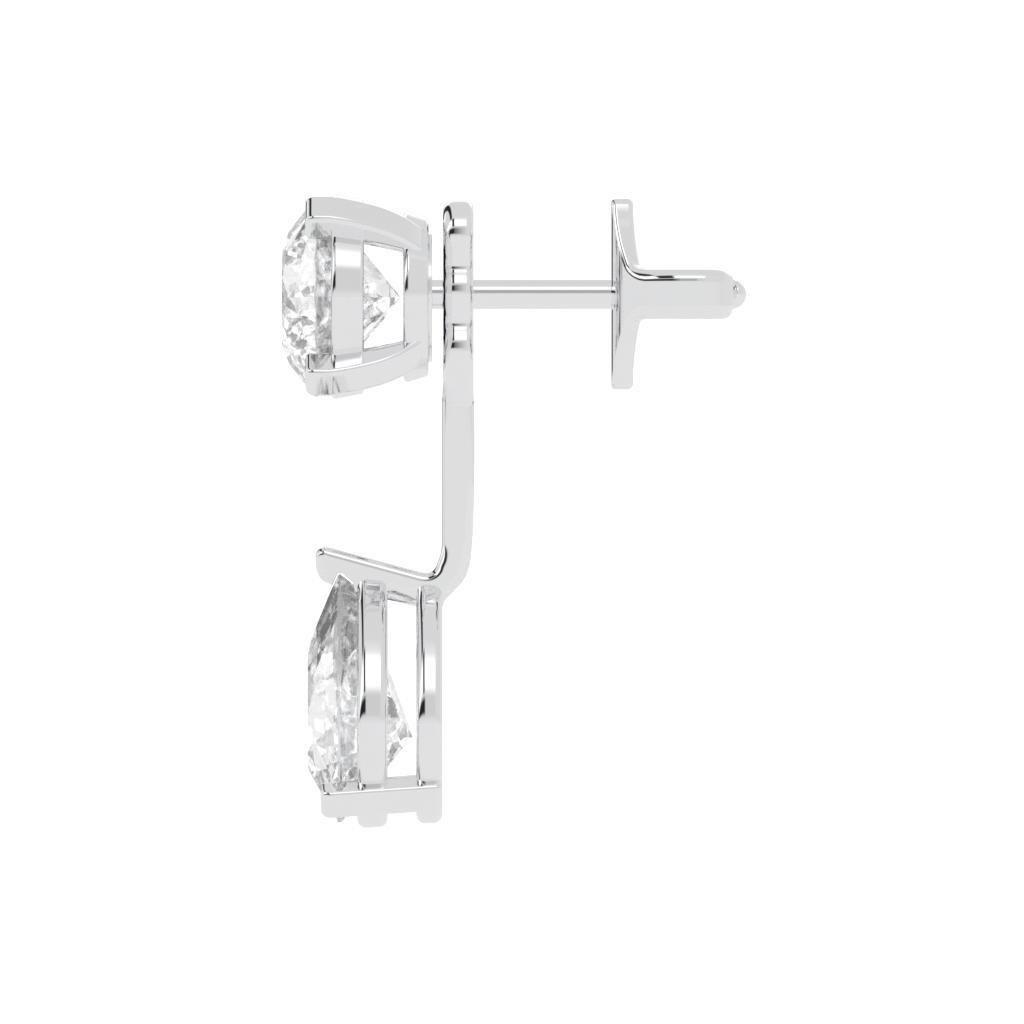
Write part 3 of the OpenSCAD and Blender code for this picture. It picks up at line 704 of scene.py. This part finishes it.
points, faces, normals = [], [], []
for j in range(len(rings)):
    for sign in (1, -1):
        for s, h, ns, nh in full:
            inset, level = ring_at(j, s)
            points.append(nut_point(s - ns * inset, sign * (h - nh * inset), level))
for j in range(len(rings) - 1):
    quads = []
    for i in range(count - 1):
        k = i + 1
        quads.append([corner(j, 0, i), corner(j + 1, 0, i), corner(j + 1, 0, k), corner(j, 0, k)])
        quads.append([corner(j, 1, k), corner(j + 1, 1, k), corner(j + 1, 1, i), corner(j, 1, i)])
    i, k = 0, count - 1
    quads.append([corner(j, 1, i), corner(j + 1, 1, i), corner(j + 1, 0, i), corner(j, 0, i)])
    quads.append([corner(j, 0, k), corner(j + 1, 0, k), corner(j + 1, 1, k), corner(j, 1, k)])
    faces += [[index for index, _ in quad] for quad in quads]
    normals += [[normal for _, normal in quad] for quad in quads]

# The post's hole, rounded over at both ends, in the flat between the columns nearest the middle
rim_count, rim_r, half_patch = 48, 0.08, 0.9
near = [i for i in range(count) if abs(full[i][0]) < half_patch]
rim = [2 * math.pi * k / rim_count for k in range(rim_count)]
hole_rings = [(rim_r * (1 - math.sin(a)), rim_r * (1 - math.cos(a)), math.sin(a), -math.cos(a))
              for a in angles((0, 30, 60, 90))]
hole_rings += [(inset, nut_t - level, out, -inner) for inset, level, out, inner in hole_rings[::-1]]
start = len(points)
for inset, level, _, _ in hole_rings:
    r = nut_half - 2 * roll + inset
    points += [nut_point(r * math.cos(t), r * math.sin(t), level) for t in rim]
for j in range(len(hole_rings) - 1):
    for i in range(rim_count):
        k = (i + 1) % rim_count
        quad = [(j, i), (j, k), (j + 1, k), (j + 1, i)]
        faces.append([start + a * rim_count + b for a, b in quad])
        normals.append([nut_normal(0, -math.cos(rim[b]) * hole_rings[a][2],
                                   -math.sin(rim[b]) * hole_rings[a][2], hole_rings[a][3])
                        for a, b in quad])

# The outer and the inner face, cut round the hole and otherwise column by column
for j, hole_ring, inner in ((0, 0, -1.0), (len(rings) - 1, len(hole_rings) - 1, 1.0)):
    upper, lower = 2 * j * count, (2 * j + 1) * count
    around = [upper + i for i in near] + [lower + i for i in near[::-1]]
    within = [start + hole_ring * rim_count + i for i in range(rim_count)]
    for tri in tessellate_polygon([[Vector(points[i]) for i in loop] for loop in (around, within)]):
        faces.append([(around + within)[i] for i in tri])
        normals.append([nut_normal(0, 0, 0, inner)] * 3)
    for i in range(count - 1):
        if i in near and i + 1 in near:
            continue
        columns = [(upper, i), (upper, i + 1), (lower, i + 1), (lower, i)]
        columns = columns[::-1] if inner > 0 else columns
        faces.append([row + column for row, column in columns])
        normals.append([nut_normal(full[column][0], 0, 0, inner) for _, column in columns])
nut = Shell()
nut.add(points, faces, normals, Matrix.Identity(4))
nut_metal = nut.build("ear_nut_metal")
nut_metal.data.materials.append(white_gold)
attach(nut_metal, "nut")
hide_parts("ear_nut")


# Floor, light and camera
# A plain pale floor far below the hanging earring, a white tent of light round it with a few dark
# cards for the metal to reflect, and a long lens at the photograph's side view.
half_floor, floor_z = 3, -0.06
floor_mesh = bpy.data.meshes.new("floor")
floor_mesh.from_pydata([(x * half_floor, y * half_floor, floor_z)
                        for x, y in ((-1, -1), (1, -1), (1, 1), (-1, 1))], [], [(0, 1, 2, 3)])
floor = bpy.data.objects.new("floor", floor_mesh)
bpy.context.scene.collection.objects.link(floor)
floor_white = bpy.data.materials.new("floor_white")
floor_white.use_nodes = True
nodes, links = floor_white.node_tree.nodes, floor_white.node_tree.links
paper = nodes["Principled BSDF"]
paper.inputs["Base Color"].default_value = (0.9, 0.9, 0.9, 1.0)
paper.inputs["Roughness"].default_value = 0.8
paper.inputs["Emission Color"].default_value = (1.0, 1.0, 1.0, 1.0)
seen = nodes.new("ShaderNodeLightPath")
glow = nodes.new("ShaderNodeMath")
glow.operation = "MULTIPLY_ADD"
glow.inputs[1].default_value = 0.8
glow.inputs[2].default_value = 0.2
links.new(seen.outputs["Is Camera Ray"], glow.inputs[0])
links.new(glow.outputs["Value"], paper.inputs["Emission Strength"])
floor.data.materials.append(floor_white)
floor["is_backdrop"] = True

# The tent's light goes by two measures of a direction: its turn round the post's line, from the
# camera's side upwards, and y, how far it points to the back of the earring
tent_strength = 1.3
world = bpy.data.worlds.new("tent")
bpy.context.scene.world = world
world.use_nodes = True
nodes, links = world.node_tree.nodes, world.node_tree.links
where = nodes.new("ShaderNodeTexCoord")
split = nodes.new("ShaderNodeSeparateXYZ")
links.new(where.outputs["Generated"], split.inputs["Vector"])
turn_node = nodes.new("ShaderNodeMath")
turn_node.operation = "ARCTAN2"
links.new(split.outputs["Z"], turn_node.inputs[0])
links.new(split.outputs["X"], turn_node.inputs[1])
turn, y = turn_node.outputs["Value"], split.outputs["Y"]

whole_turn = nodes.new("ShaderNodeMapRange")
whole_turn.inputs["From Min"].default_value = -math.pi
whole_turn.inputs["From Max"].default_value = math.pi
links.new(turn, whole_turn.inputs["Value"])
ramp = nodes.new("ShaderNodeValToRGB")
links.new(whole_turn.outputs["Result"], ramp.inputs["Fac"])
stops = [(-180, 0.77), (-90, 0.80), (-15, 0.84), (0, 0.80), (3.5, 0.77), (7, 0.70), (10, 0.66), (30, 0.66),
         (33, 0.72), (39, 1.3), (52, 1.3), (58, 0.86), (66, 0.73), (110, 0.72), (140, 0.74), (150, 1.15),
         (163, 1.15), (170, 0.77), (180, 0.77)]
while len(ramp.color_ramp.elements) < len(stops):
    ramp.color_ramp.elements.new(0.5)
for stop, (degrees, value) in zip(ramp.color_ramp.elements, stops):
    stop.position = (degrees + 180) / 360
    stop.color = (value / tent_strength, value / tent_strength, value / tent_strength, 1.0)


def step_up(value, start, end):
    """0 at start, 1 at end, smooth between."""
    made = nodes.new("ShaderNodeMapRange")
    made.interpolation_type = "SMOOTHSTEP"
    made.inputs["From Min"].default_value = start
    made.inputs["From Max"].default_value = end
    links.new(value, made.inputs["Value"])
    return made.outputs["Result"]


def by_turn(start, end):
    """step_up over the turn round the post's line, in degrees."""
    return step_up(turn, math.radians(start), math.radians(end))


def both(kind, first, second):
    """A Math node of two values, each a socket or a number."""
    made = nodes.new("ShaderNodeMath")
    made.operation = kind
    for socket, value in zip(made.inputs, (first, second)):
        if isinstance(value, float):
            socket.default_value = value
        else:
            links.new(value, socket)
    return made.outputs["Value"]


def mix(kind, share, first, second):
    """A colour mix. share and second are each a socket or a value."""
    made = nodes.new("ShaderNodeMix")
    made.data_type = "RGBA"
    made.blend_type = kind
    links.new(first, made.inputs[mix_a])
    for socket, value in ((made.inputs["Factor"], share), (made.inputs[mix_b], second)):
        if isinstance(value, (float, tuple)):
            socket.default_value = value
        else:
            links.new(value, socket)
    return made.outputs[mixed]


# Dark cards: for the rails' left edges, for the drop's elbow, and for the plate's scallops
card_dark = 0.97
rail_card = both("MULTIPLY", both("MULTIPLY", by_turn(6, 13), by_turn(33, 24)), step_up(y, 0.15, -0.2))
elbow_card = both("MULTIPLY", both("MULTIPLY", step_up(y, -0.68, -0.62), step_up(y, -0.38, -0.44)),
                  by_turn(57, 66))
plate_card = both("MULTIPLY", both("MULTIPLY", step_up(y, -0.46, -0.38), step_up(y, -0.08, -0.16)),
                  both("MULTIPLY", by_turn(32, 35), by_turn(64, 57)))
cards = both("MAXIMUM", both("MAXIMUM", rail_card, elbow_card), plate_card)
cards = both("ADD", both("MULTIPLY", cards, -card_dark), 1.0)
light = mix("MULTIPLY", 1.0, ramp.outputs["Color"], cards)
# Calmer greys to the back
calm_side = both("MULTIPLY", step_up(y, 0.30, 0.5), both("MULTIPLY", by_turn(4, 12), by_turn(64, 56)))
light = mix("MIX", calm_side, light, (0.56, 0.56, 0.56, 1.0))
calm_back = both("MULTIPLY", step_up(y, 0.40, 0.55), by_turn(125, 140))
light = mix("MIX", calm_back, light, (0.59, 0.59, 0.59, 1.0))
# A patchy light for what the stones pass on, and plain white behind everything
patches = nodes.new("ShaderNodeTexNoise")
patches.inputs["Scale"].default_value = 10.0
patches.inputs["Detail"].default_value = 3.0
links.new(where.outputs["Generated"], patches.inputs["Vector"])
stone_light = nodes.new("ShaderNodeValToRGB")
links.new(patches.outputs["Fac"], stone_light.inputs["Fac"])
for stop, (place, value) in zip(stone_light.color_ramp.elements, ((0.40, 0.12), (0.56, 1.0))):
    stop.position = place
    stop.color = (value, value, value, 1.0)
path = nodes.new("ShaderNodeLightPath")
light = mix("MIX", path.outputs["Is Transmission Ray"], light, stone_light.outputs["Color"])
light = mix("MIX", path.outputs["Is Camera Ray"], light, (1.0, 1.0, 1.0, 1.0))
links.new(light, nodes["Background"].inputs["Color"])
nodes["Background"].inputs["Strength"].default_value = tent_strength

lens = bpy.data.cameras.new("camera")
lens.sensor_width = 36
lens.lens = 1232
lens.clip_start = 0.01
lens.clip_end = 20
camera = bpy.data.objects.new("camera", lens)
bpy.context.scene.collection.objects.link(camera)
camera.location = (1.06, -0.0018, -0.0066)
aim = Vector((0.0, -0.00092, -0.00659)) - camera.location
camera.rotation_euler = aim.to_track_quat("-Z", "Y").to_euler()
bpy.context.scene.camera = camera
bpy.context.scene.view_settings.view_transform = "Standard"

low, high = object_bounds()
